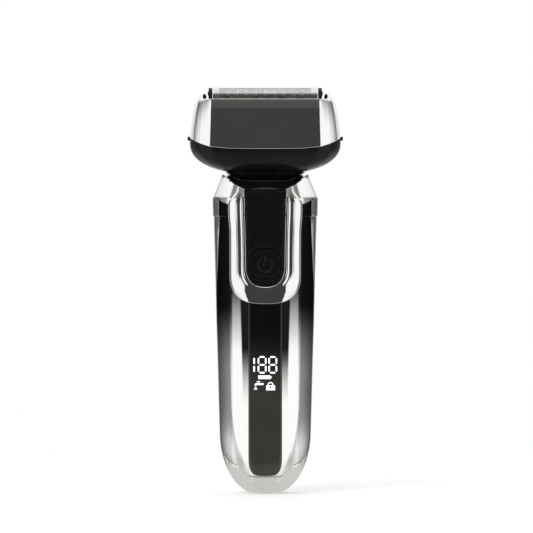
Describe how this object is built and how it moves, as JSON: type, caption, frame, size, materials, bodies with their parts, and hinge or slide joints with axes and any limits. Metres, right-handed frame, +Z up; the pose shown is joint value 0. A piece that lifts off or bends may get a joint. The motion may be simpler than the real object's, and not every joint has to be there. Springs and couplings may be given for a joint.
{
  "type": "electric shaver",
  "caption": "Handheld foil shaver standing upright: slim rounded handle, tilting head with lift-off foil cassette, thumb power button, lit display strip and rear slide-up trimmer.",
  "frame": {"origin": "middle of the flat face that the shaver stands on", "axes": "+Z up along the handle, -Y out of the front with the power button, +X across the head"},
  "size_m": [0.062, 0.0374, 0.162],
  "materials": {
    "dark_chrome": "black chrome plating that clears to bright chrome towards the foot, polished",
    "bright_chrome": "bright chrome plating on moulded plastic, polished",
    "satin_black": "satin black moulded plastic",
    "soft_black": "soft-touch black plastic",
    "lens": "smoked glossy plastic window",
    "rubber": "black silicone rubber",
    "steel": "stainless steel, fine ground",
    "foil": "perforated nickel-steel shaving foil",
    "brass": "turned brass",
    "inner_plastic": "grey moulded plastic",
    "white_plastic": "natural white acetal",
    "board": "green lacquered circuit board",
    "cell_wrap": "blue shrink-wrapped steel cell"
  },
  "bodies": {
    "handle": {"front_shell": "dark_chrome", "rear_shell": "dark_chrome", "collar": "bright_chrome", "front_panel": "soft_black", "display_lens": "lens", "bottom_cap": "bright_chrome", "rear_grip": "rubber", "trimmer_cover": "satin_black", "neck_boot": "rubber", "cap_seal": "rubber", "chassis": "inner_plastic", "pivot_bracket": "steel", "charging_socket": "steel", "charge_board": "board", "main_board": "board", "display_module": "white_plastic", "tact_switch": "steel", "battery_cell": "cell_wrap", "battery_contact_top": "steel", "battery_contact_bottom": "steel", "motor_can": "steel", "motor_bush": "brass", "board_screw_top": "steel", "board_screw_bottom": "steel", "pivot_pin_left": "steel", "pivot_pin_right": "steel"},
    "power_button": {"power_button": "soft_black"},
    "rotor": {"motor_shaft": "steel", "drive_cam": "brass"},
    "trimmer": {"trimmer_carrier": "soft_black", "trimmer_switch": "satin_black", "trimmer_comb": "steel"},
    "trimmer_cutter": {"trimmer_cutter": "steel"},
    "head": {"head_base": "satin_black", "head_deck": "soft_black", "post_seal_front": "rubber", "post_seal_middle": "rubber", "post_seal_rear": "rubber", "release_spring_left": "steel", "release_spring_right": "steel"},
    "release_left": {"release_button_left": "satin_black"},
    "release_right": {"release_button_right": "satin_black"},
    "oscillator": {"oscillator_bridge": "white_plastic", "blade_spring_front": "steel", "blade_spring_middle": "steel", "blade_spring_rear": "steel"},
    "blade_front": {"blade_front": "steel"},
    "blade_middle": {"blade_middle": "steel"},
    "blade_rear": {"blade_rear": "steel"},
    "cassette": {"head_frame": "bright_chrome", "foil_frame": "soft_black"},
    "foil_front": {"foil_front": "foil", "foil_carrier_front": "satin_black"},
    "foil_rear": {"foil_rear": "foil", "foil_carrier_rear": "satin_black"},
    "guard_middle": {"guard_middle": "foil", "guard_carrier": "satin_black"}
  },
  "joints": [
    {"name": "power_press", "type": "slide", "parent": "handle", "child": "power_button", "axis": [0, 1, 0], "range_m": [0, 0.0006], "stiffness_N_per_m": 600},
    {"name": "rotor_spin", "type": "hinge", "parent": "handle", "child": "rotor", "pos_m": [0, 0, 0.116], "axis": [0, 0, 1], "continuous": true},
    {"name": "trimmer_slide", "type": "slide", "parent": "handle", "child": "trimmer", "axis": [0, 0, 1], "range_m": [0, 0.007]},
    {"name": "trimmer_stroke", "type": "slide", "parent": "trimmer", "child": "trimmer_cutter", "axis": [1, 0, 0], "range_m": [-0.0008, 0.0008], "stiffness_N_per_m": 400},
    {"name": "head_tilt", "type": "hinge", "parent": "handle", "child": "head", "pos_m": [0, 0, 0.123], "axis": [1, 0, 0], "range_deg": [-8, 8], "stiffness_Nm_per_rad": 0.4},
    {"name": "release_left_press", "type": "slide", "parent": "head", "child": "release_left", "axis": [1, 0, 0], "range_m": [0, 0.0008], "stiffness_N_per_m": 600},
    {"name": "release_right_press", "type": "slide", "parent": "head", "child": "release_right", "axis": [-1, 0, 0], "range_m": [0, 0.0008], "stiffness_N_per_m": 600},
    {"name": "cutter_stroke", "type": "slide", "parent": "head", "child": "oscillator", "axis": [1, 0, 0], "range_m": [-0.0012, 0.0012], "stiffness_N_per_m": 900},
    {"name": "cassette_lift", "type": "slide", "parent": "head", "child": "cassette", "axis": [0, 0, 1], "range_m": [0, 0.025]},
    {"name": "foil_front_float", "type": "slide", "parent": "cassette", "child": "foil_front", "axis": [0, 0, -1], "range_m": [0, 0.0012], "stiffness_N_per_m": 900},
    {"name": "blade_front_float", "type": "slide", "parent": "oscillator", "child": "blade_front", "axis": [0, 0, -1], "range_m": [0, 0.0012]},
    {"name": "guard_middle_float", "type": "slide", "parent": "cassette", "child": "guard_middle", "axis": [0, 0, -1], "range_m": [0, 0.0012], "stiffness_N_per_m": 900},
    {"name": "blade_middle_float", "type": "slide", "parent": "oscillator", "child": "blade_middle", "axis": [0, 0, -1], "range_m": [0, 0.0012]},
    {"name": "foil_rear_float", "type": "slide", "parent": "cassette", "child": "foil_rear", "axis": [0, 0, -1], "range_m": [0, 0.0012], "stiffness_N_per_m": 900},
    {"name": "blade_rear_float", "type": "slide", "parent": "oscillator", "child": "blade_rear", "axis": [0, 0, -1], "range_m": [0, 0.0012]}
  ],
  "couplings": [
    {"joint": "blade_front_float", "follows": "foil_front_float", "ratio": 1},
    {"joint": "blade_middle_float", "follows": "guard_middle_float", "ratio": 1},
    {"joint": "blade_rear_float", "follows": "foil_rear_float", "ratio": 1}
  ]
}
